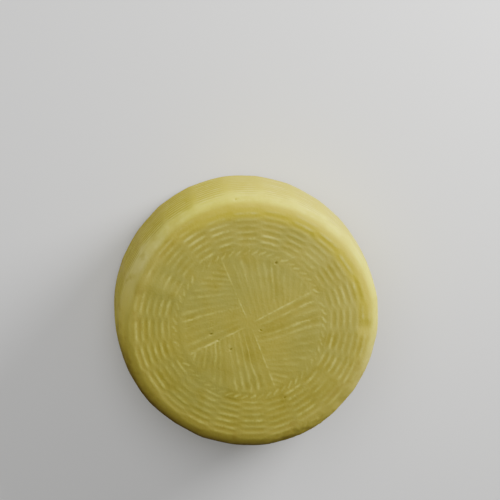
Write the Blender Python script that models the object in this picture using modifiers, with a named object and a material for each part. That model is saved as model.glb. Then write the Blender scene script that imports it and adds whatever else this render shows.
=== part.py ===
"""A whole wheel of pecorino, pressed and turned in a woven basket.

The wheel lies on one printed side with the other up. Metres, +Z up, origin at the centre of the
underside. Angles round the wheel run clockwise from +X when it is seen from above with +Y up.
"""
import math

import bmesh
import bpy
import numpy as np

# The wheel
WHEEL_RADIUS = 0.1000
WHEEL_HEIGHT = 0.0750
SHOULDER_RADIUS = 0.0992
FACE_RADIUS = 0.0866
EDGE_DROP = 0.0112
FACE_DOME = 0.0016

# The basket: strands woven in front of and behind its stakes, in columns between them
COLUMNS = 24
COLUMN_TURN = math.tau / COLUMNS
FIRST_COLUMN = math.radians(5.0)
WEAVE_START = 0.0615
STRANDS = 56
STRAND_LIFT = 0.00034
STRAND_ROUND = 0.00064
OVER_UNDER = 1.5
COLUMN_FLAT = 0.0003
SHOULDER_WEAVE = 0.50
WALL_WEAVE = 0.95

# The four fans of stakes that cross under the middle of the basket
FAN_BORDERS = tuple(math.radians(turn) for turn in (69.0, 153.0, 247.0, 332.0))
FAN_RADIUS = 0.0567
FAN_FOOT = 0.87
FAN_SPREAD = 0.70
STAKES = 13.0
STAKES_MORE = 0.75
STAKE_GROOVE = 0.00052
BORDER_WIDTH = 0.0016
FAN_EDGE = 0.0532

# The twisted cord round the fans, and the hooked crest that each twist leaves
TWISTS = 60
CORD_RADIUS = 0.0568
CORD_OFF_CENTRE = 0.0007
CORD_OFF_TURN = math.radians(125.0)
CORD_HALF = 0.0040
CORD_GROOVE = 0.00050
HOOK_SLANT = 0.0034
HOOK_BEND = 0.0024
HOOK_WIDTH = 0.0014

# The underside, pressed flatter by the weight of the wheel
UNDERSIDE_PRINT = 0.65
UNDERSIDE_MIDDLE = 0.0120

# Small hollows in the face and wall: clockwise turn, run from the middle of the face, radius, depth
PITS = (
    (math.radians(291.8), 0.0517, 0.0013, 0.0010),
    (math.radians(65.0), 0.0638, 0.0009, 0.0009),
    (math.radians(263.5), 0.0975, 0.0013, 0.0010),
    (math.radians(166.0), 0.0304, 0.0010, 0.0008),
    (math.radians(153.0), 0.0267, 0.0009, 0.0007),
    (math.radians(126.3), 0.0242, 0.0011, 0.0009),
    (math.radians(29.8), 0.0094, 0.0009, 0.0007),
)

# Wide dents and raised patches of the upper side, where the print is worn: turn, run, radius, depth, wear
PATCHES = (
    (math.radians(303.5), 0.0822, 0.0040, 0.0005, 0.8),
    (math.radians(3.0), 0.0896, 0.0090, 0.0012, 0.9),
    (math.radians(202.0), 0.0880, 0.0110, -0.0003, 0.8),
    (math.radians(202.5), 0.0760, 0.0120, -0.0004, 0.8),
    (math.radians(203.0), 0.0640, 0.0090, -0.0003, 0.7),
    (math.radians(225.0), 0.0575, 0.0120, 0.0003, 0.6),
    (math.radians(42.5), 0.0954, 0.0080, 0.0006, 0.9),
)

# The wheel sagged a little out of round, as shares of its radius, and its unevenness
OVAL = 0.0065
OVAL_TURN = math.radians(60.0)
FOUR_SIDED = 0.0055
FOUR_SIDED_TURN = math.radians(73.6)
WANDER = 0.00030
UNEVEN = 0.00025
FADE = 0.22
SEED = 11

# The mesh
TURN_STEPS = 384
PROFILE_STEP = 0.00062
TRIANGLES = 11900

RIND_COLOUR = (0.37, 0.32, 0.055, 1.0)


def clear_scene():
    for obj in list(bpy.data.objects):
        bpy.data.objects.remove(obj)


def smooth(low, high, x):
    """0 below low and 1 above high, with a smooth rise between."""
    share = np.clip((x - low) / (high - low), 0.0, 1.0)
    return share * share * (3.0 - 2.0 * share)


def spaced(length, shape):
    """Points of shape(share) for shares from 0 up to 1, one for each PROFILE_STEP of length."""
    count = math.ceil(length / PROFILE_STEP)
    return [shape(i / count) for i in range(count)]


def quarter(centre, radii, start):
    """Points on a quarter of an ellipse, clockwise from the turn start."""
    def shape(share):
        turn = start - math.pi / 2 * share
        return centre[0] + radii[0] * math.cos(turn), centre[1] + radii[1] * math.sin(turn)
    return spaced(math.pi / 2 * max(radii), shape)


def half_profile():
    """(radius, height) from the middle of the face down the outer side to the middle of the foot."""
    edge_top = WHEEL_HEIGHT - FACE_DOME
    wall_top = edge_top - EDGE_DROP
    wall = wall_top - EDGE_DROP
    edge = (SHOULDER_RADIUS - FACE_RADIUS, EDGE_DROP)

    def face(share):
        return FACE_RADIUS * share, WHEEL_HEIGHT - FACE_DOME * share**2

    def barrel(share):
        bulge = (WHEEL_RADIUS - SHOULDER_RADIUS) * (1.0 - (2.0 * share - 1.0) ** 2)
        return SHOULDER_RADIUS + bulge, wall_top - wall * share

    def foot(share):
        return FACE_RADIUS * (1.0 - share), 0.0

    points = spaced(FACE_RADIUS, face)
    points += quarter((FACE_RADIUS, wall_top), edge, math.pi / 2)
    points += spaced(wall, barrel)
    points += quarter((FACE_RADIUS, EDGE_DROP), edge, 0.0)
    points += spaced(FACE_RADIUS, foot)
    return points + [(0.0, 0.0)]


def runs(points):
    """The length along the profile from its first point to each of them."""
    steps = [math.dist(a, b) for a, b in zip(points, points[1:])]
    return np.concatenate([[0.0], np.cumsum(steps)])


def turned_blank(points):
    """The plain wheel: the half profile turned round Z, each vertex keeping its run as an attribute."""
    mesh = bpy.data.meshes.new("half_profile")
    edges = [(i, i + 1) for i in range(len(points) - 1)]
    mesh.from_pydata([(r, 0.0, z) for r, z in points], edges, [])
    mesh.attributes.new("run", "FLOAT", "POINT").data.foreach_set("value", runs(points))
    profile = bpy.data.objects.new("half_profile", mesh)
    bpy.context.scene.collection.objects.link(profile)
    turn = profile.modifiers.new("turn", "SCREW")
    turn.steps = TURN_STEPS
    turn.render_steps = TURN_STEPS
    turn.use_merge_vertices = True
    turn.merge_threshold = 0.00001
    graph = bpy.context.evaluated_depsgraph_get()
    blank = bpy.data.meshes.new_from_object(profile.evaluated_get(graph))
    bpy.data.objects.remove(profile)
    return blank


def wander(turn, run, waves, seed):
    """A smooth unevenness from about -1 to 1 over the wheel, whole in each turn."""
    dice = np.random.default_rng(seed)
    total = np.zeros_like(turn)
    for wave in range(1, waves + 1):
        phase, shift, pitch = dice.uniform(0.0, math.tau, 3)
        total += np.sin(wave * turn + phase + 1.4 * np.sin(run * 30.0 + pitch)) * np.sin(run * 45.0 + shift)
    return total / math.sqrt(waves)


def across_column(turn):
    """The number of the column at each turn, and the place across it from -1 to 1."""
    place = (turn - FIRST_COLUMN) / COLUMN_TURN
    column = np.floor(place)
    return np.mod(column, COLUMNS), 2.0 * (place - column) - 1.0


def weave(turn, run, pitch):
    """How deep the strands press in. Every other strand passes behind a column, where a crest stays."""
    column, across = across_column(turn)
    sway = np.clip(OVER_UNDER * np.cos(math.pi / 2 * across), 0.0, 1.0)
    sway = np.where(np.mod(column, 2.0) == 0.0, sway, -sway)
    place = (run - WEAVE_START) / pitch
    depth = np.full_like(turn, -1.0)
    for step in (-1.0, 0.0, 1.0):
        strand = np.round(place) + step
        front = np.where(np.mod(strand, 2.0) == 0.0, sway, -sway)
        depth = np.maximum(depth, STRAND_LIFT * front - STRAND_ROUND * (place - strand) ** 2)
    return np.maximum(depth + STRAND_LIFT, 0.0) * smooth(-0.9, -0.3, place)


def fans(turn, run):
    """How deep the stakes of the four fans press in, with sharp crests between them."""
    depth = np.zeros_like(turn)
    borders = FAN_BORDERS + (FAN_BORDERS[0] + math.tau,)
    turn = np.where(turn < borders[0], turn + math.tau, turn)
    for start, end in zip(borders, borders[1:]):
        inside = (turn >= start) & (turn < end)
        swing = (turn - start) / (end - start) * math.pi / 2
        out = run / FAN_RADIUS * np.cos(swing)
        side = run / FAN_RADIUS * np.sin(swing)
        share = side / (FAN_FOOT + FAN_SPREAD * out + (1.0 - FAN_FOOT) * side**4)
        stake = STAKES * share + STAKES_MORE * share**2
        groove = 1.0 - (2.0 * np.abs(stake - np.floor(stake) - 0.5)) ** 2
        border = smooth(0.0, BORDER_WIDTH, out * FAN_RADIUS)
        depth = np.where(inside, STAKE_GROOVE * groove * border, depth)
    return depth * (1.0 - smooth(FAN_EDGE - 0.001, FAN_EDGE + 0.0008, run)) * smooth(0.0015, 0.006, run)


def cord(turn, run):
    """How deep the cord presses in: a trough with a short hooked crest for each twist."""
    run = run - CORD_OFF_CENTRE * np.cos(turn - CORD_OFF_TURN)
    trough = np.clip(1.0 - ((run - CORD_RADIUS) / CORD_HALF) ** 2, 0.0, 1.0)
    twist = turn / math.tau * TWISTS
    along = twist - np.floor(twist) - 0.5
    hook = CORD_RADIUS - 0.0004 + HOOK_SLANT * along + HOOK_BEND * along**2
    crest = np.clip(1.0 - np.abs(run - hook) / HOOK_WIDTH, 0.0, 1.0)
    crest *= 1.0 - smooth(0.32, 0.50, np.abs(along))
    return CORD_GROOVE * trough * (1.0 - crest)


def side_print(turn, run, pitch):
    """The whole print of the basket on one side of the wheel, from its middle out."""
    loose = run + WANDER * wander(turn, run, 5, SEED)
    return fans(turn, loose) + cord(turn, loose) + weave(turn, loose, pitch)


def near_spot(turn, run, spot_turn, spot_run, solid, radius):
    """1 around a spot of the rind and 0 beyond the radius, solid out to a share of it."""
    gap = np.angle(np.exp(1j * (turn - spot_turn))) * spot_run
    return 1.0 - smooth(solid, 1.0, np.hypot(gap, run - spot_run) / radius)


def pits(turn, run):
    """The small hollows, as depth."""
    depth = np.zeros_like(turn)
    for pit_turn, pit_run, radius, deep in PITS:
        depth += deep * near_spot(turn, run, pit_turn, pit_run, 0.3, radius)
    return depth


def patches(turn, run):
    """The wide dents and raised patches, as depth and as the share of the print that they wore off."""
    depth = np.zeros_like(turn)
    worn = np.zeros_like(turn)
    for patch_turn, patch_run, radius, deep, wear in PATCHES:
        near = near_spot(turn, run, patch_turn, patch_run, 0.0, radius)
        depth += deep * near
        worn = np.maximum(worn, wear * near)
    return depth, worn


def out_of_round(turn):
    """The radius of the sagged wheel as a share of the round one."""
    oval = OVAL * np.cos(2.0 * (turn - OVAL_TURN))
    return 1.0 + oval + FOUR_SIDED * np.cos(4.0 * (turn - FOUR_SIDED_TURN))


def press_in_basket(mesh, whole_run):
    """Moves the blank's vertices inward by the print of the basket."""
    count = len(mesh.vertices)
    place = np.empty(count * 3)
    normal = np.empty(count * 3)
    run = np.empty(count)
    mesh.vertices.foreach_get("co", place)
    mesh.vertex_normals.foreach_get("vector", normal)
    mesh.attributes["run"].data.foreach_get("value", run)
    place = place.reshape(-1, 3)
    normal = normal.reshape(-1, 3)
    turn = np.mod(-np.arctan2(place[:, 1], place[:, 0]), math.tau)
    pitch = (whole_run - 2.0 * WEAVE_START) / STRANDS
    under = whole_run - run
    upper = run < whole_run / 2.0
    print_depth = side_print(turn, np.where(upper, run, under), pitch)

    wall_share = smooth(FACE_RADIUS, FACE_RADIUS + 0.006, np.minimum(run, under))
    past_edge = smooth(FACE_RADIUS + 0.012, FACE_RADIUS + 0.020, np.minimum(run, under))
    strength = 1.0 - wall_share * (1.0 - SHOULDER_WEAVE) + past_edge * (WALL_WEAVE - SHOULDER_WEAVE)
    strength *= 1.0 - FADE * (0.5 + 0.5 * np.clip(wander(turn, run, 7, SEED + 1), -1.0, 1.0))
    foot = smooth(FACE_RADIUS + 0.004, FACE_RADIUS - 0.002, under)
    strength *= 1.0 - foot * (1.0 - UNDERSIDE_PRINT)
    strength *= smooth(UNDERSIDE_MIDDLE, UNDERSIDE_MIDDLE + 0.004, under)
    patch_depth, worn = patches(turn, run)
    strength *= 1.0 - worn

    inward = print_depth * strength + pits(turn, run) + patch_depth
    place -= normal * inward[:, None]
    radius = np.hypot(place[:, 0], place[:, 1])
    across = across_column(turn)[1]
    pull = COLUMN_FLAT * np.cos(math.pi / 2 * across) - UNEVEN * wander(turn, run * 0.0, 3, SEED + 2)
    radius = radius * out_of_round(turn) - pull * smooth(0.070, WHEEL_RADIUS, radius)
    place[:, 0] = np.cos(turn) * radius
    place[:, 1] = -np.sin(turn) * radius
    mesh.vertices.foreach_set("co", place.ravel())
    mesh.update()


def spared(mesh):
    """The same wheel with few triangles where it is plain and more along its crests."""
    full = bpy.data.objects.new("full_wheel", mesh)
    bpy.context.scene.collection.objects.link(full)
    spare = full.modifiers.new("spare", "DECIMATE")
    spare.ratio = TRIANGLES / (2.0 * len(mesh.polygons))
    graph = bpy.context.evaluated_depsgraph_get()
    result = bpy.data.meshes.new_from_object(full.evaluated_get(graph))
    bpy.data.objects.remove(full)
    return result


def stand_on_origin(mesh):
    """Puts the middle of the box over the origin and the resting points on the plane of the floor."""
    place = np.empty(len(mesh.vertices) * 3)
    mesh.vertices.foreach_get("co", place)
    place = place.reshape(-1, 3)
    low, high = place.min(axis=0), place.max(axis=0)
    place[:, :2] -= (low + high)[:2] / 2.0
    place[:, 2] = np.maximum(place[:, 2], 0.0)
    mesh.vertices.foreach_set("co", place.ravel())
    mesh.update()


def close_up(mesh):
    """Drops faces with no area and turns all faces outward."""
    shell = bmesh.new()
    shell.from_mesh(mesh)
    bmesh.ops.dissolve_degenerate(shell, edges=shell.edges, dist=0.00001)
    bmesh.ops.triangulate(shell, faces=shell.faces)
    bmesh.ops.recalc_face_normals(shell, faces=shell.faces)
    shell.to_mesh(mesh)
    shell.free()


def rind():
    material = bpy.data.materials.new("rind")
    material.use_nodes = True
    surface = material.node_tree.nodes["Principled BSDF"]
    surface.inputs["Base Color"].default_value = RIND_COLOUR
    surface.inputs["Roughness"].default_value = 0.5
    material.diffuse_color = RIND_COLOUR
    return material


def build():
    clear_scene()
    points = half_profile()
    blank = turned_blank(points)
    press_in_basket(blank, runs(points)[-1])
    mesh = spared(blank)
    stand_on_origin(mesh)
    close_up(mesh)
    mesh.attributes.remove(mesh.attributes["run"])
    mesh.shade_smooth()
    mesh.materials.clear()
    mesh.materials.append(rind())
    mesh.name = "pecorino_wheel"
    wheel = bpy.data.objects.new("pecorino_wheel", mesh)
    group = bpy.data.collections.new("pecorino")
    bpy.context.scene.collection.children.link(group)
    group.objects.link(wheel)


build()
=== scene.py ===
"""A whole wheel of pecorino with the print of its woven basket, on a pale studio floor.

Metres, +Z up, origin at the centre of the underside. Turns round the wheel are counted clockwise from +X
as seen from above, and the run is the length over the rind from the middle of the upper face.
"""
import math

import bpy
from mathutils import Matrix, Vector


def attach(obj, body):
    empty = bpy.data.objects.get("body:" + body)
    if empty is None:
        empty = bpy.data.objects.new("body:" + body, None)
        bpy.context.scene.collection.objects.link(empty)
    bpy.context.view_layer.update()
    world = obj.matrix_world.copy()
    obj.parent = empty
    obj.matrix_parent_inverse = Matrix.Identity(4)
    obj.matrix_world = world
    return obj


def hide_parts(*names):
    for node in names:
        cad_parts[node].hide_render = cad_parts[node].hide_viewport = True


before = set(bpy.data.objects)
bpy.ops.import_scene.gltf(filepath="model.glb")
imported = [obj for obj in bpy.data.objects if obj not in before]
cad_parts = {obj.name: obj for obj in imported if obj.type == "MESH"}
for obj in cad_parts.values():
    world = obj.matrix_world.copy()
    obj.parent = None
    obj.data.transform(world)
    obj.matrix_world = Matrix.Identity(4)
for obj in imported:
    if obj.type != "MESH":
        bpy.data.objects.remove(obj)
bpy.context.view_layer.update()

# The wheel, as named inputs of its geometry tree
SIZES = {
    "Wheel radius": 0.1000,
    "Wheel height": 0.0750,
    "Shoulder radius": 0.0992,
    "Face radius": 0.0866,
    "Edge drop": 0.0112,
    "Face dome": 0.0016,
    "Weave start": 0.0615,
    "Strand lift": 0.00014,
    "Strand round": 0.00027,
    "Oval": 0.0065,
    "Four-sided": 0.0055,
    "Column flat": 0.00024,
    "Shoulder weave": 0.35,
    "Wall weave": 1.20,
    "Fan radius": 0.0567,
    "Fan edge": 0.0532,
    "Stake groove": 0.00024,
    "Border width": 0.0016,
    "Cord radius": 0.0568,
    "Cord off centre": 0.0007,
    "Cord half width": 0.0042,
    "Cord groove": 0.00022,
    "Hook slant": 0.0034,
    "Hook bend": 0.0024,
    "Hook width": 0.0014,
    "Crease": 0.00045,
    "Underside print": 0.65,
    "Underside middle": 0.0120,
    "Wander": 0.0005,
    "Lumps": 0.0004,
}

# Turns, counts and shares of the print
OVAL_TURN = math.radians(60.0)
FOUR_SIDED_TURN = math.radians(73.6)
COLUMNS = 24
FIRST_COLUMN = math.radians(5.0)
STRANDS = 56
OVER_UNDER = 1.5
FAN_BORDERS = tuple(math.radians(turn) for turn in (69.0, 153.0, 247.0, 332.0))
FAN_CREASE_SIDES = (1, -1, -1, 1)
FAN_STRENGTHS = (0.85, 1.0, 0.5, 0.75)
FAN_FOOT = 0.87
FAN_SPREAD = 0.70
STAKES = 13.0
STAKES_MORE = 0.75
TWISTS = 60
CORD_OFF_TURN = math.radians(125.0)

# Millimetres in a metre: the depths that the rind's colour follows are kept in millimetres
MILLIMETRES = 1000.0

# Steps of the surface round the wheel, and its rings over the fans, the weave, the wall and the underside
TURN_STEPS = 432
FAN_RINGS = 62
WEAVE_RINGS = 64
WALL_RINGS = 56
UNDER_WEAVE_RINGS = 35
UNDER_FAN_RINGS = 13

# Small hollows: clockwise turn in degrees, run, radius, depth
PITS = (
    (291.8, 0.0517, 0.0013, 0.0010),
    (65.0, 0.0638, 0.0009, 0.0009),
    (263.5, 0.0975, 0.0013, 0.0010),
    (166.0, 0.0304, 0.0010, 0.0008),
    (153.0, 0.0267, 0.0009, 0.0007),
    (126.3, 0.0242, 0.0011, 0.0009),
    (29.8, 0.0094, 0.0009, 0.0007),
)

# Wide patches, sunk, raised or level, where the print is worn: turn in degrees, run, radius, depth, wear
PATCHES = (
    (303.5, 0.0822, 0.0040, 0.0005, 0.8),
    (3.0, 0.0896, 0.0090, 0.0012, 0.9),
    (202.0, 0.0880, 0.0110, -0.0003, 0.8),
    (202.5, 0.0760, 0.0120, -0.0004, 0.8),
    (203.0, 0.0640, 0.0090, -0.0003, 0.7),
    (225.0, 0.0575, 0.0120, 0.0003, 0.6),
    (42.5, 0.0954, 0.0080, 0.0006, 0.9),
    (320.0, 0.0450, 0.0100, 0.0002, 0.5),
    (40.0, 0.0760, 0.0140, 0.0000, 0.7),
    (314.0, 0.0680, 0.0150, 0.0000, 0.5),
)

# The knobbly stretch of the rim: turn in degrees, run, half length, depth
KNOBBLY = (66.0, 0.0965, 0.0320, 0.0009)

# Where painted shade, painted sheen and painted light lie on the rind: the turn of the middle of each (the
# shaded side of the rim, the sheen along the shoulder, the lit side of the rim, the lit side of the face)
SHADE_TURN = math.radians(118.0)
SHEEN_TURN = math.radians(285.0)
LIT_SIDE_TURN = math.radians(300.0)
LIT_FACE_TURN = math.radians(351.5)

# Bands of colour round the rim: the runs where each starts, is full, starts to fade and ends
EDGE_BAND = (0.079, 0.087, 0.150, 0.170)
WALL_BAND = (0.0905, 0.0975, 0.150, 0.170)
# Painted sheen: the pale band along the shoulder on the upper side
SHEEN_BAND = (0.0925, 0.0970, 0.104, 0.120)

# Colours of the rind, in linear light. The lit copies, the sheen and the shades among them are painted light
# and painted shade
OLIVE = (0.280, 0.258, 0.047)
OLIVE_GOLD = (0.325, 0.281, 0.038)
# Painted light: the face's colour on its side towards the key lamp
LIT_OLIVE = (0.372, 0.328, 0.050)
CLOUD = (0.250, 0.210, 0.024)
EDGE = (0.345, 0.300, 0.050)
# Painted light: a brighter, more golden copy of the edge for the side towards the key lamp
LIT_GOLD_EDGE = (0.455, 0.380, 0.006)
WALL = (0.425, 0.365, 0.062)
# Painted light: a brighter, more golden copy of the wall for the side towards the key lamp
LIT_GOLD_WALL = (0.460, 0.405, 0.0)
# Painted sheen along the upper shoulder, and its brighter copy for the lit side
SHEEN = (0.590, 0.550, 0.150)
LIT_GOLD_SHEEN = (0.760, 0.760, 0.0)
# Painted shade: the lower wall darker towards the floor, and its copy for the lit side
FOOT_SHADE = (0.335, 0.278, 0.075)
LIT_FOOT_SHADE = (0.360, 0.305, 0.022)
SMUDGE = (0.240, 0.182, 0.030)
# Painted shade in the grooves of the print, and its copy for the lit side of the wall
GROOVE_SHADE = (0.240, 0.196, 0.018)
LIT_GROOVE_SHADE = (0.370, 0.312, 0.008)
CREST = (0.530, 0.495, 0.082)
WALL_CREST = (0.690, 0.660, 0.090)
GRAIN = (0.460, 0.430, 0.090)
# Painted shade for the side of the rim turned away from the lamps: a dull tint, then a deep dark one
HALF_SHADE = (0.230, 0.180, 0.030)
DEEP_SHADE = (0.098, 0.062, 0.008)
# Painted shade in the small hollows
PIT_SHADE = (0.120, 0.080, 0.018)

# The studio
FLOOR_COLOUR = (0.78, 0.78, 0.77)
LAMP_DISTANCE = 0.9

# The camera, set by where the wheel lies in a picture of 500 pixels
CAMERA_TILT = math.radians(17.5)
CAMERA_TILT_AXIS = (0.954, 0.30, 0.0)
CAMERA_DISTANCE = 3.0
VIEW_WIDTH = 0.3768
PICTURE_PIXELS = 500.0
CENTRE_DOWN_PIXELS = 74.6
SENSOR_WIDTH = 36.0


class Field:
    """A value worked out at each point of a surface. Plain arithmetic on it adds Math nodes to its tree."""

    def __init__(self, tree, socket):
        self.tree = tree
        self.socket = socket

    def math(self, operation, *others):
        node = self.tree.nodes.new("ShaderNodeMath")
        node.operation = operation
        for slot, value in zip(node.inputs, (self, *others)):
            plug(self.tree, value, slot)
        return Field(self.tree, node.outputs[0])

    def __add__(self, other):
        return self.math("ADD", other)

    def __radd__(self, other):
        return self.math("ADD", other)

    def __sub__(self, other):
        return self.math("SUBTRACT", other)

    def __rsub__(self, other):
        return self.math("MULTIPLY", -1.0).math("ADD", other)

    def __mul__(self, other):
        return self.math("MULTIPLY", other)

    def __truediv__(self, other):
        return self.math("DIVIDE", other)

    def __neg__(self):
        return self.math("MULTIPLY", -1.0)

    def clamp(self, low=0.0, high=1.0):
        return self.math("MAXIMUM", low).math("MINIMUM", high)

    def power(self, exponent):
        return self.math("POWER", exponent)

    def inside(self, low, high):
        """1 where the value lies between low and high, else 0."""
        return self.math("GREATER_THAN", low) * self.math("LESS_THAN", high)


def plug(tree, value, slot):
    if isinstance(value, Field):
        tree.links.new(value.socket, slot)
    else:
        slot.default_value = value


def rise(low, high, field):
    """0 at low and 1 at high, with a smooth rise between."""
    node = field.tree.nodes.new("ShaderNodeMapRange")
    node.interpolation_type = "SMOOTHSTEP"
    plug(field.tree, field, node.inputs["Value"])
    plug(field.tree, low, node.inputs["From Min"])
    plug(field.tree, high, node.inputs["From Max"])
    return Field(field.tree, node.outputs["Result"])


def fall(low, high, field):
    return 1.0 - rise(low, high, field)


def noise(tree, place, size, seed, detail=2.0):
    """Smooth noise about 0 with features of the given size in metres, fixed by its seed."""
    node = tree.nodes.new("ShaderNodeTexNoise")
    node.noise_dimensions = "4D"
    tree.links.new(place, node.inputs["Vector"])
    node.inputs["W"].default_value = seed
    node.inputs["Scale"].default_value = 1.0 / size
    node.inputs["Detail"].default_value = detail
    return Field(tree, node.outputs["Fac"]) * 2.0 - 1.0


def combine(tree, x, y, z):
    node = tree.nodes.new("ShaderNodeCombineXYZ")
    for value, slot in zip((x, y, z), node.inputs):
        plug(tree, value, slot)
    return node.outputs[0]


def on_circle(tree, turn, height):
    """A point on a circle of 0.1 m, for noise that meets itself after a full turn."""
    return combine(tree, turn.math("COSINE") * 0.1, turn.math("SINE") * 0.1, height)


def separate(tree, vector):
    node = tree.nodes.new("ShaderNodeSeparateXYZ")
    tree.links.new(vector, node.inputs[0])
    return [Field(tree, output) for output in node.outputs]


def named_number(tree, name):
    node = tree.nodes.new("GeometryNodeInputNamedAttribute")
    node.data_type = "FLOAT"
    node.inputs["Name"].default_value = name
    return Field(tree, node.outputs["Attribute"])


def keep_number(tree, geometry, name, field):
    """The geometry with the field stored on its points under the name."""
    node = tree.nodes.new("GeometryNodeStoreNamedAttribute")
    node.data_type = "FLOAT"
    node.domain = "POINT"
    tree.links.new(geometry, node.inputs["Geometry"])
    node.inputs["Name"].default_value = name
    tree.links.new(field.socket, node.inputs["Value"])
    return node.outputs["Geometry"]


def profile_lengths(size):
    """The lengths of face, edge and wall in the half profile."""
    edge_out = size["Shoulder radius"] - size["Face radius"]
    edge = ((edge_out * edge_out + size["Edge drop"] * size["Edge drop"]) * 0.5).math("SQRT") * (math.pi / 2)
    wall = size["Wheel height"] - size["Face dome"] - size["Edge drop"] * 2.0
    return size["Face radius"], edge, wall


def on_profile(size, run):
    """(radius, height) of the plain wheel at a run."""
    face, edge, wall = profile_lengths(size)
    edge_out = size["Shoulder radius"] - face
    face_share = (run / face).clamp()
    over = ((run - face) / edge).clamp() * (math.pi / 2)
    down = ((run - face - edge) / wall).clamp()
    under = ((run - face - edge - wall) / edge).clamp() * (math.pi / 2)
    home = (run - face - edge * 2.0 - wall).clamp(0.0, 1.0)
    barrel = down * (1.0 - down) * 4.0 * (size["Wheel radius"] - size["Shoulder radius"])
    radius = face_share * face + over.math("SINE") * edge_out + barrel
    radius = radius - (1.0 - under.math("COSINE")) * edge_out - home
    height = size["Wheel height"] - size["Face dome"] * face_share * face_share
    height = height - (1.0 - over.math("COSINE")) * size["Edge drop"] - down * wall
    height = height - under.math("SINE") * size["Edge drop"]
    return radius.math("MAXIMUM", 0.0), height


def ring_run(size, ring):
    """The run of a ring of the surface: the rings lie closest where the strands are finest."""
    face, edge, wall = profile_lengths(size)
    fan = size["Fan edge"]
    woven = face + edge - fan
    stretches = (
        (FAN_RINGS, fan),
        (WEAVE_RINGS, woven),
        (WALL_RINGS, wall),
        (UNDER_WEAVE_RINGS, woven),
        (UNDER_FAN_RINGS, fan),
    )
    run, first = 0.0, 0
    for rings, length in stretches:
        run = ((ring - first) / rings).clamp() * length + run
        first += rings
    return run


def columns(turn):
    """(number, across) of the column at a turn; across goes from -1 to 1 over its width."""
    place_round = (turn - FIRST_COLUMN) / (math.tau / COLUMNS)
    number = place_round.math("FLOOR")
    return number, (place_round - number) * 2.0 - 1.0


def weave(size, turn, run, pitch, knots):
    """(depth, crest) of the woven strands. Every other strand passes behind a column and leaves a crest."""
    column, across = columns(turn)
    odd = column.math("FLOORED_MODULO", 2.0)
    reach = ((across * (math.pi / 2)).math("COSINE") * OVER_UNDER).clamp()
    sway = reach * (1.0 - odd * 2.0)
    place = (run - size["Weave start"]) / pitch
    middle = (place + 0.5).math("FLOOR")
    depth = None
    for step in (-1.0, 0.0, 1.0):
        strand = middle + step
        front = sway * (1.0 - strand.math("FLOORED_MODULO", 2.0) * 2.0)
        away = place - strand
        level = size["Strand lift"] * front - size["Strand round"] * away * away
        depth = level if depth is None else depth.math("MAXIMUM", level)
    begun = rise(-0.9, -0.3, place)
    depth = (depth + size["Strand lift"]).math("MAXIMUM", 0.0)
    line = ((ridge((place + odd - 1.0) * 0.5) - 0.45) / 0.55).clamp()
    luck = chance(middle * 3.7 + column * 17.3, 4.0) * 0.85 + 0.25
    uneven = rise(-0.5, 0.3, knots) * 0.7 + 0.4
    return depth * begun, line * reach.power(1.5) * begun * luck * uneven


def ridge(place):
    """1 on whole numbers, where a crest stands, and 0 halfway between them."""
    return ((place - place.math("FLOOR") - 0.5) * 2.0).math("ABSOLUTE")


def chance(number, seed):
    """A fixed random draw from 0 to 1 for each whole number."""
    node = number.tree.nodes.new("ShaderNodeTexWhiteNoise")
    node.noise_dimensions = "1D"
    plug(number.tree, (number + 0.5).math("FLOOR") + seed * 1000.0, node.inputs["W"])
    return Field(number.tree, node.outputs["Value"])


def fans(size, turn, run, wobble, gaps, knots):
    """(depth, crest) of the stakes of the four fans, with a narrow crease beside some of the crests."""
    borders = FAN_BORDERS + (FAN_BORDERS[0] + math.tau,)
    first = borders[0]
    turn = turn + turn.math("LESS_THAN", first) * math.tau
    depth, crest = 0.0, 0.0
    for number, (start, end) in enumerate(zip(borders, borders[1:])):
        swing = (turn - start) * (math.pi / 2 / (end - start))
        out = run / size["Fan radius"] * swing.math("COSINE")
        side = run / size["Fan radius"] * swing.math("SINE")
        share = side / (out * FAN_SPREAD + side.power(4.0) * (1.0 - FAN_FOOT) + FAN_FOOT)
        stake = share * STAKES + share * share * STAKES_MORE + wobble * rise(0.0, 0.15, share)
        top = ridge(stake)
        luck = chance(stake + number * 40.0, 1.0).power(1.4)
        border = rise(0.0, size["Border width"], out * size["Fan radius"])
        here = turn.inside(start, end)
        beside = (stake + 0.13 * FAN_CREASE_SIDES[number]).math("FRACT")
        crease = (1.0 - beside.math("PINGPONG", 0.5) / 0.11).clamp()
        crease = crease * rise(0.05, 0.30, gaps + luck * 0.3 - 0.15)
        print_share = (rise(0.014, 0.046, run) * 0.65 + 0.35) * FAN_STRENGTHS[number]
        groove = (1.0 - top * top) * (luck * 0.5 + 0.6) * size["Stake groove"] * border
        depth = here * groove * (print_share * 0.7 + 0.3) + depth
        depth = here * crease * size["Crease"] * print_share + depth
        line = ((top - 0.35) / 0.65).clamp() * (luck * 1.1 + 0.15) * border * print_share
        crest = here * line.math("MAXIMUM", (1.0 - border) * 1.2) + crest
    fading = fall(size["Fan edge"] - 0.004, size["Fan edge"] + 0.001, run + gaps * 0.006)
    uneven = rise(-0.5, 0.4, knots) * 0.9 + 0.2
    return depth * fading * rise(0.001, 0.010, run), crest * fading * uneven * rise(0.002, 0.012, run)


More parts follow.
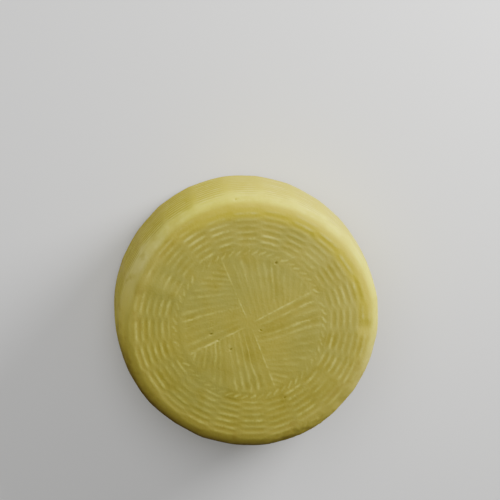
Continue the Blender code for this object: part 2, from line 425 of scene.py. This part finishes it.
def cord(size, turn, run, knots):
    """(depth, crest) of the twisted cord: a trough with a short hooked crest for each twist."""
    run = run - (turn - CORD_OFF_TURN).math("COSINE") * size["Cord off centre"]
    across = (run - size["Cord radius"]) / size["Cord half width"]
    trough = (1.0 - across * across).clamp()
    twist = turn * (TWISTS / math.tau)
    along = twist - twist.math("FLOOR") - 0.5
    hook = size["Cord radius"] - 0.0004 + size["Hook slant"] * along + size["Hook bend"] * along * along
    away = (run - hook).math("ABSOLUTE") / size["Hook width"]
    luck = (chance(twist - 0.5, 2.0) * 0.8 + 0.3) * (rise(-0.5, 0.3, knots) * 0.8 + 0.2)
    crest = (1.0 - away).clamp() * fall(0.32, 0.50, along.math("ABSOLUTE")) * luck
    return size["Cord groove"] * trough * (1.0 - crest), crest


def hollows(turn, run):
    """The depth of the small hollows."""
    total = 0.0
    for degrees, pit_run, radius, deep in PITS:
        gap = (turn - math.radians(degrees)).math("WRAP", math.pi, -math.pi) * min(pit_run, 0.1)
        off = run - pit_run
        away = (gap * gap + off * off).math("SQRT") / radius
        total = fall(0.3, 1.0, away) * deep + total
    return total


def knobs(tree, position, turn, run):
    """Small knobs on one stretch of the rim, as depth."""
    degrees, middle, radius, deep = KNOBBLY
    gap = (turn - math.radians(degrees)).math("WRAP", math.pi, -math.pi) * middle
    here = fall(0.4, 1.0, gap.math("ABSOLUTE") / radius) * fall(0.004, 0.011, (run - middle).math("ABSOLUTE"))
    return noise(tree, position, size=0.0040, seed=17.0) * here * deep


def patches(turn, run):
    """(depth, wear) of the wide patches."""
    deep, worn = 0.0, None
    for degrees, patch_run, radius, depth, wear in PATCHES:
        gap = (turn - math.radians(degrees)).math("WRAP", math.pi, -math.pi) * patch_run
        off = run - patch_run
        near = fall(0.0, 1.0, (gap * gap + off * off).math("SQRT") / radius)
        deep = near * depth + deep
        worn = near * wear if worn is None else worn.math("MAXIMUM", near * wear)
    return deep, worn


def measured_sheet(tree, size, position):
    """A flat grid that keeps the run and the turn of each of its points."""
    rings = FAN_RINGS + WEAVE_RINGS + WALL_RINGS + UNDER_WEAVE_RINGS + UNDER_FAN_RINGS
    sheet = tree.nodes.new("GeometryNodeMeshGrid")
    sheet.inputs["Size X"].default_value = rings
    sheet.inputs["Size Y"].default_value = 1.0
    sheet.inputs["Vertices X"].default_value = rings + 1
    sheet.inputs["Vertices Y"].default_value = TURN_STEPS + 1
    ring, lap, _ = separate(tree, position)
    body = keep_number(tree, sheet.outputs["Mesh"], "run", ring_run(size, ring + rings / 2.0))
    return keep_number(tree, body, "turn", (lap + 0.5) * math.tau + FIRST_COLUMN)


def rolled_up(tree, size, body, run, whole):
    """The sheet rolled into the plain wheel, a little out of round, with its seam joined."""
    turn = named_number(tree, "turn")
    drift = noise(tree, on_circle(tree, turn, run), size=0.035, seed=3.0) * size["Wander"] * 2.0
    drift = drift * rise(0.002, 0.02, run) * fall(whole - 0.02, whole - 0.002, run)
    radius, height = on_profile(size, run + drift)
    oval = ((turn - OVAL_TURN) * 2.0).math("COSINE") * size["Oval"]
    square = ((turn - FOUR_SIDED_TURN) * 4.0).math("COSINE") * size["Four-sided"]
    _, across = columns(turn)
    flat = (across * (math.pi / 2)).math("COSINE") * size["Column flat"]
    uneven = noise(tree, on_circle(tree, turn, 0.0), size=0.05, seed=8.0) * 0.0008
    rim = rise(0.070, size["Wheel radius"], radius)
    radius = radius * (1.0 + oval + square) - rim * (flat + uneven)
    moved = combine(tree, radius * turn.math("COSINE"), -(radius * turn.math("SINE")), height)
    body = set_position(tree, body, "Position", moved)
    merge = tree.nodes.new("GeometryNodeMergeByDistance")
    tree.links.new(body, merge.inputs["Geometry"])
    merge.inputs["Distance"].default_value = 0.000002
    flip = tree.nodes.new("GeometryNodeFlipFaces")
    tree.links.new(merge.outputs["Geometry"], flip.inputs["Mesh"])
    return flip.outputs["Mesh"]


def print_strength(tree, size, position, near, below, underfoot, wear):
    """How strongly the basket printed, which is less where the rind is worn and on the underside."""
    over_edge = rise(size["Face radius"], size["Face radius"] + 0.006, near)
    past_edge = rise(size["Face radius"] + 0.011, size["Face radius"] + 0.021, near)
    strength = 1.0 - over_edge * (1.0 - size["Shoulder weave"])
    strength = strength + past_edge * (size["Wall weave"] - size["Shoulder weave"])
    worn = noise(tree, position, size=0.030, seed=21.0, detail=1.0)
    strength = strength * (1.0 - rise(-0.2, 0.6, worn) * 0.6) * (1.0 - wear)
    strength = strength * (1.0 - underfoot * (1.0 - size["Underside print"]))
    return strength * (1.0 - below * fall(size["Underside middle"], size["Underside middle"] + 0.004, near))


def pressed(tree, size, body, position, run, whole):
    """The wheel with the print pressed in. Its points keep their crest, groove and pit for the rind."""
    # The turn is worked out again, because the seam's points are one now.
    x, y, _ = separate(tree, position)
    turn = (-y).math("ARCTAN2", x).math("FLOORED_MODULO", math.tau)
    pitch = (whole - size["Weave start"] * 2.0) / STRANDS
    below = run.math("GREATER_THAN", whole * 0.5)
    near = run * (1.0 - below) + (whole - run) * below
    underfoot = below * fall(size["Face radius"] - 0.002, size["Face radius"] + 0.004, near)
    wobble = noise(tree, position, size=0.022, seed=12.0, detail=1.0) * 0.45
    gaps = noise(tree, position, size=0.011, seed=31.0, detail=1.0)
    knots = noise(tree, position, size=0.0045, seed=37.0, detail=1.0)
    weave_depth, weave_crest = weave(size, turn, near, pitch, knots)
    fan_depth, fan_crest = fans(size, turn, near, wobble, gaps, knots)
    cord_depth, cord_crest = cord(size, turn, near, knots)
    patch_depth, patch_wear = patches(turn, near)
    strength = print_strength(tree, size, position, near, below, underfoot, patch_wear)
    crest = weave_crest.math("MAXIMUM", fan_crest).math("MAXIMUM", cord_crest) * strength
    groove = (weave_depth + fan_depth + cord_depth) * strength
    pit = hollows(turn, run)
    lumps = (noise(tree, position, size=0.018, seed=5.0) + 0.3) * size["Lumps"]
    depth = groove + pit + (patch_depth * (1.0 - below) + lumps) * (1.0 - underfoot)
    depth = depth + knobs(tree, position, turn, near)

    body = keep_number(tree, body, "crest", crest)
    body = keep_number(tree, body, "groove", groove * MILLIMETRES)
    body = keep_number(tree, body, "pit", pit * MILLIMETRES)
    inward = tree.nodes.new("ShaderNodeVectorMath")
    inward.operation = "SCALE"
    tree.links.new(tree.nodes.new("GeometryNodeInputNormal").outputs[0], inward.inputs[0])
    tree.links.new((-depth).socket, inward.inputs["Scale"])
    return set_position(tree, body, "Offset", inward.outputs[0])


def centred(tree, body):
    """The wheel moved so that the middle of its box is at the origin in plan."""
    box = tree.nodes.new("GeometryNodeBoundBox")
    tree.links.new(body, box.inputs["Geometry"])
    low, high = separate(tree, box.outputs["Min"]), separate(tree, box.outputs["Max"])
    home = combine(tree, (low[0] + high[0]) * -0.5, (low[1] + high[1]) * -0.5, 0.0)
    return set_position(tree, body, "Offset", home)


def wheel_tree(material):
    tree = bpy.data.node_groups.new("printed wheel", "GeometryNodeTree")
    tree.is_modifier = True
    tree.interface.new_socket("Geometry", in_out="OUTPUT", socket_type="NodeSocketGeometry")
    for name in SIZES:
        tree.interface.new_socket(name, in_out="INPUT", socket_type="NodeSocketFloat")
    given = tree.nodes.new("NodeGroupInput")
    size = {name: Field(tree, given.outputs[name]) for name in SIZES}
    face, edge, wall = profile_lengths(size)
    whole = (face + edge) * 2.0 + wall

    position = tree.nodes.new("GeometryNodeInputPosition").outputs[0]
    body = measured_sheet(tree, size, position)
    run = named_number(tree, "run")
    body = rolled_up(tree, size, body, run, whole)
    body = pressed(tree, size, body, position, run, whole)
    body = centred(tree, body)

    smooth = tree.nodes.new("GeometryNodeSetShadeSmooth")
    tree.links.new(body, smooth.inputs["Geometry"])
    real = tree.nodes.new("GeometryNodeRealizeInstances")
    tree.links.new(smooth.outputs["Geometry"], real.inputs["Geometry"])
    finish = tree.nodes.new("GeometryNodeSetMaterial")
    finish.inputs["Material"].default_value = material
    tree.links.new(real.outputs["Geometry"], finish.inputs["Geometry"])
    result = tree.nodes.new("NodeGroupOutput")
    tree.links.new(finish.outputs["Geometry"], result.inputs["Geometry"])
    return tree


def set_position(tree, geometry, slot, vector):
    node = tree.nodes.new("GeometryNodeSetPosition")
    tree.links.new(geometry, node.inputs["Geometry"])
    tree.links.new(vector, node.inputs[slot])
    return node.outputs["Geometry"]


def printed_wheel(material):
    tree = wheel_tree(material)
    holder = bpy.data.objects.new("wheel maker", bpy.data.meshes.new("wheel maker"))
    bpy.context.scene.collection.objects.link(holder)
    maker = holder.modifiers.new("printed wheel", "NODES")
    maker.node_group = tree
    for item in tree.interface.items_tree:
        if item.in_out == "INPUT":
            maker[item.identifier] = SIZES[item.name]
    graph = bpy.context.evaluated_depsgraph_get()
    mesh = bpy.data.meshes.new_from_object(holder.evaluated_get(graph))
    bpy.data.objects.remove(holder)
    mesh.name = "printed_pecorino"
    wheel = bpy.data.objects.new("printed_pecorino", mesh)
    bpy.context.scene.collection.objects.link(wheel)
    return wheel


def attribute(tree, name):
    node = tree.nodes.new("ShaderNodeAttribute")
    node.attribute_name = name
    return Field(tree, node.outputs["Fac"])


def blend(tree, share, first, second):
    """A colour between the first and the second; each is a colour or the result of another blend."""
    node = tree.nodes.new("ShaderNodeMix")
    node.data_type = "RGBA"
    plug(tree, share, node.inputs["Factor"])
    for colour, slot in ((first, node.inputs[6]), (second, node.inputs[7])):
        if isinstance(colour, tuple):
            slot.default_value = (*colour, 1.0)
        else:
            tree.links.new(colour, slot)
    return node.outputs[2]


def toward(x, y, turn):
    """How far a point lies from the middle towards a turn."""
    return x * math.cos(turn) - y * math.sin(turn)


def band(stretch, run):
    start, full, fade, end = stretch
    return rise(start, full, run) * fall(fade, end, run)


def face_colour(tree, place, x, y, clouds):
    """Olive with golden drifts, painted lighter on the side towards the key lamp (painted light), and with
    darker clouds.
    """
    drifts = noise(tree, place, size=0.050, seed=1.0, detail=3.0)
    colour = blend(tree, rise(-0.35, 0.35, drifts), OLIVE, OLIVE_GOLD)
    # Painted light: the face is lighter on the side towards the key lamp
    colour = blend(tree, rise(0.0346, 0.0841, toward(x, y, LIT_FACE_TURN)) * 0.7, colour, LIT_OLIVE)
    return blend(tree, rise(-0.1, 0.6, clouds) * 0.8, colour, CLOUD)


def rim_colour(tree, colour, place, x, y, run, lit_side, clouds, rubbed):
    """The edge and wall, painted brighter and more golden on the side towards the key lamp (painted light),
    with a band of painted sheen along the top of the wall and painted shade darkening the lower wall.
    """
    edge = band(EDGE_BAND, run)
    colour = blend(tree, edge * 0.85, colour, blend(tree, lit_side, EDGE, LIT_GOLD_EDGE))
    colour = blend(tree, band(WALL_BAND, run) * 0.95, colour, blend(tree, lit_side, WALL, LIT_GOLD_WALL))
    # Painted sheen: a pale band along the shoulder on the upper side, standing in for the lamps' whitish
    # reflection
    pale = rise(-0.035, 0.050, toward(x, y, SHEEN_TURN)) * band(SHEEN_BAND, run + (1.0 - lit_side) * 0.003)
    pale = pale * (0.85 - lit_side * 0.35) * (rise(-0.4, 0.2, clouds + rubbed * 0.5) * 0.5 + 0.5)
    colour = blend(tree, pale, colour, blend(tree, lit_side, SHEEN, LIT_GOLD_SHEEN))
    # Painted shade: the wall darker towards the bottom
    colour = blend(tree, rise(0.112, 0.150, run) * 0.45, colour, blend(tree, lit_side, FOOT_SHADE, LIT_FOOT_SHADE))
    smudges = rise(0.02, 0.40, noise(tree, place, size=0.009, seed=14.0, detail=3.0))
    return blend(tree, smudges * edge * (1.0 - lit_side) * 0.45, colour, SMUDGE)


def print_colour(tree, colour, place, run, lit_side, rubbed):
    """Painted shade in the grooves, and pale crests, rubbed away in places."""
    crest, groove = attribute(tree, "crest"), attribute(tree, "groove")
    grain = noise(tree, place, size=0.0012, seed=3.0)
    wall = band(WALL_BAND, run)
    # Painted shade: the grooves are darkened by their depth
    groove_shade = blend(tree, wall * lit_side, GROOVE_SHADE, LIT_GROOVE_SHADE)
    colour = blend(tree, rise(0.08, 0.36, groove) * (0.48 + wall * 0.19), colour, groove_shade)
    lines = (crest * rise(-0.55, 0.35, rubbed + grain * 0.6) * 1.4).clamp()
    colour = blend(tree, lines * (0.8 - wall * 0.2), colour, blend(tree, wall, CREST, WALL_CREST))
    return blend(tree, rise(0.2, 0.6, grain) * 0.12, colour, GRAIN)


def shaded_side_colour(tree, colour, x, y, run, rubbed):
    """Painted shade on the side of the rim turned away from the lamps: first a dull olive tint, then a deep
    dark one, deepest at the top of the wall.
    """
    # Painted shade: darkening on the side of the rim turned away from the lamps
    side_shade = rise(0.035, 0.090, toward(x, y, SHADE_TURN) + rubbed * 0.012) * fall(0.100, 0.160, run)
    colour = blend(tree, side_shade * rise(0.078, 0.096, run) * 0.35, colour, HALF_SHADE)
    return blend(tree, side_shade * rise(0.0895, 0.1015, run + rubbed * 0.002) * 0.95, colour, DEEP_SHADE)


def rind_material():
    material = bpy.data.materials.new("pecorino rind")
    material.use_nodes = True
    tree = material.node_tree
    surface = tree.nodes["Principled BSDF"]
    place = tree.nodes.new("ShaderNodeTexCoord").outputs["Object"]
    x, y, _ = separate(tree, place)
    run, pit = attribute(tree, "run"), attribute(tree, "pit")
    # Painted light: the side of the rim towards the key lamp, which takes the lit copies of the rim colours
    lit_side = rise(-0.01, 0.08, toward(x, y, LIT_SIDE_TURN))
    clouds = noise(tree, place, size=0.014, seed=2.0, detail=3.0)
    rubbed = noise(tree, place, size=0.006, seed=4.0)

    colour = face_colour(tree, place, x, y, clouds)
    colour = rim_colour(tree, colour, place, x, y, run, lit_side, clouds, rubbed)
    colour = print_colour(tree, colour, place, run, lit_side, rubbed)
    colour = shaded_side_colour(tree, colour, x, y, run, rubbed)
    # Painted shade: the small hollows are darkened by their depth
    colour = blend(tree, rise(0.1, 0.9, pit) * 0.45, colour, PIT_SHADE)
    tree.links.new(colour, surface.inputs["Base Color"])

    rough = noise(tree, place, size=0.004, seed=6.0) * 0.08 + 0.78
    tree.links.new(rough.socket, surface.inputs["Roughness"])
    surface.inputs["Specular IOR Level"].default_value = 0.08
    surface.inputs["Subsurface Weight"].default_value = 0.12
    surface.inputs["Subsurface Radius"].default_value = (1.0, 0.7, 0.2)
    surface.inputs["Subsurface Scale"].default_value = 0.002

    pitted = noise(tree, place, size=0.0016, seed=9.0, detail=4.0)
    bump = tree.nodes.new("ShaderNodeBump")
    bump.inputs["Strength"].default_value = 0.5
    bump.inputs["Distance"].default_value = 0.0002
    tree.links.new(pitted.socket, bump.inputs["Height"])
    tree.links.new(bump.outputs["Normal"], surface.inputs["Normal"])
    return material


def plain_material(name, colour, roughness):
    material = bpy.data.materials.new(name)
    material.use_nodes = True
    surface = material.node_tree.nodes["Principled BSDF"]
    surface.inputs["Base Color"].default_value = (*colour, 1.0)
    surface.inputs["Roughness"].default_value = roughness
    return material


def studio():
    bpy.ops.mesh.primitive_plane_add(size=8.0, location=(0.0, 0.0, 0.0))
    floor = bpy.context.object
    floor.name = "floor"
    floor.data.materials.append(plain_material("pale floor", FLOOR_COLOUR, roughness=0.9))

    world = bpy.data.worlds.new("studio")
    world.use_nodes = True
    world.node_tree.nodes["Background"].inputs["Color"].default_value = (1.0, 1.0, 1.0, 1.0)
    world.node_tree.nodes["Background"].inputs["Strength"].default_value = 0.25
    bpy.context.scene.world = world

    soft_box("key", side=42.0, up=18.0, size=0.5, energy=18.8)
    soft_box("fill", side=115.0, up=62.0, size=0.7, energy=4.5)


def soft_box(name, side, up, size, energy):
    """A round lamp: side is counted in degrees anticlockwise from +X, and up from the floor."""
    lamp = bpy.data.lights.new(name, "AREA")
    lamp.shape = "DISK"
    lamp.size = size
    lamp.energy = energy
    box = bpy.data.objects.new(name, lamp)
    side, up = math.radians(side), math.radians(up)
    aim = Vector((math.cos(side) * math.cos(up), math.sin(side) * math.cos(up), math.sin(up)))
    box.location = aim * LAMP_DISTANCE
    box.rotation_euler = aim.to_track_quat("Z", "Y").to_euler()
    bpy.context.scene.collection.objects.link(box)


def camera():
    """The view from above, tilted so that the wall shows along the top."""
    face = Vector((0.0, 0.0, SIZES["Wheel height"]))
    tilt = Matrix.Rotation(-CAMERA_TILT, 3, Vector(CAMERA_TILT_AXIS))
    centre_down = CENTRE_DOWN_PIXELS / PICTURE_PIXELS * VIEW_WIDTH / CAMERA_DISTANCE
    pitch = Matrix.Rotation(math.atan(centre_down), 3, "X")
    data = bpy.data.cameras.new("camera")
    data.sensor_width = SENSOR_WIDTH
    data.lens = SENSOR_WIDTH * CAMERA_DISTANCE / VIEW_WIDTH
    eye = bpy.data.objects.new("camera", data)
    eye.matrix_world = (tilt @ pitch).to_4x4()
    eye.location = face + tilt @ Vector((0.0, 0.0, CAMERA_DISTANCE))
    bpy.context.scene.collection.objects.link(eye)
    bpy.context.scene.camera = eye


wheel = printed_wheel(rind_material())
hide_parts("pecorino_wheel")
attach(wheel, "root")
studio()
camera()
